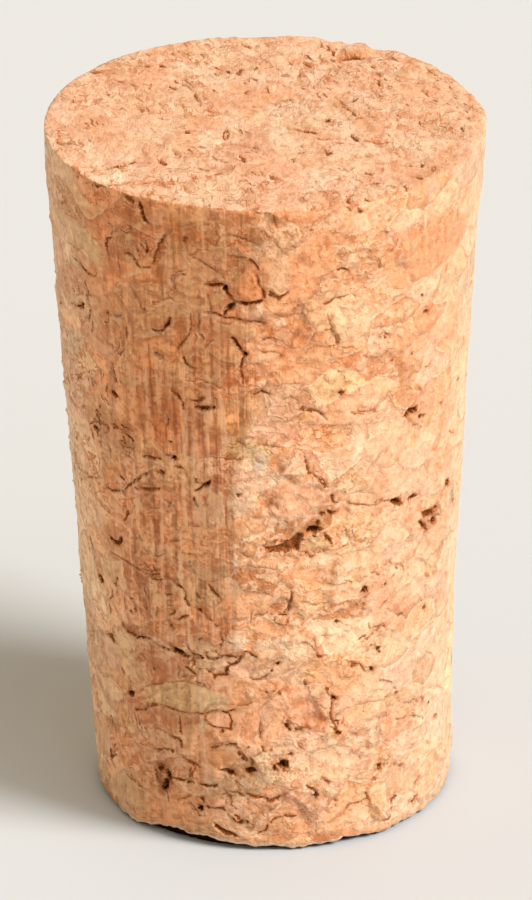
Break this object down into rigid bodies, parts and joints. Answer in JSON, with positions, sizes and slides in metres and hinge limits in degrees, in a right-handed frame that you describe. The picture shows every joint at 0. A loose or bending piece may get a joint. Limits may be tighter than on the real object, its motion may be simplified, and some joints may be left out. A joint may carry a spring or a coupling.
{
  "type": "cork stopper",
  "caption": "Tapered round cork stopper, ground from pressed cork granules; its small end pushes into the neck of a bottle, flask or tube.",
  "frame": {"origin": "centre of the small end face, on which the stopper stands", "axes": "+Z along the taper's axis, from the small end to the wide end; X and Y are free because the taper is round, with +X to the right and -Y to the front of the surface detail"},
  "size_m": [0.024, 0.024, 0.0395],
  "materials": {
    "cork": "matte"
  },
  "bodies": {
    "root": {"stopper": "cork"}
  },
  "joints": []
}
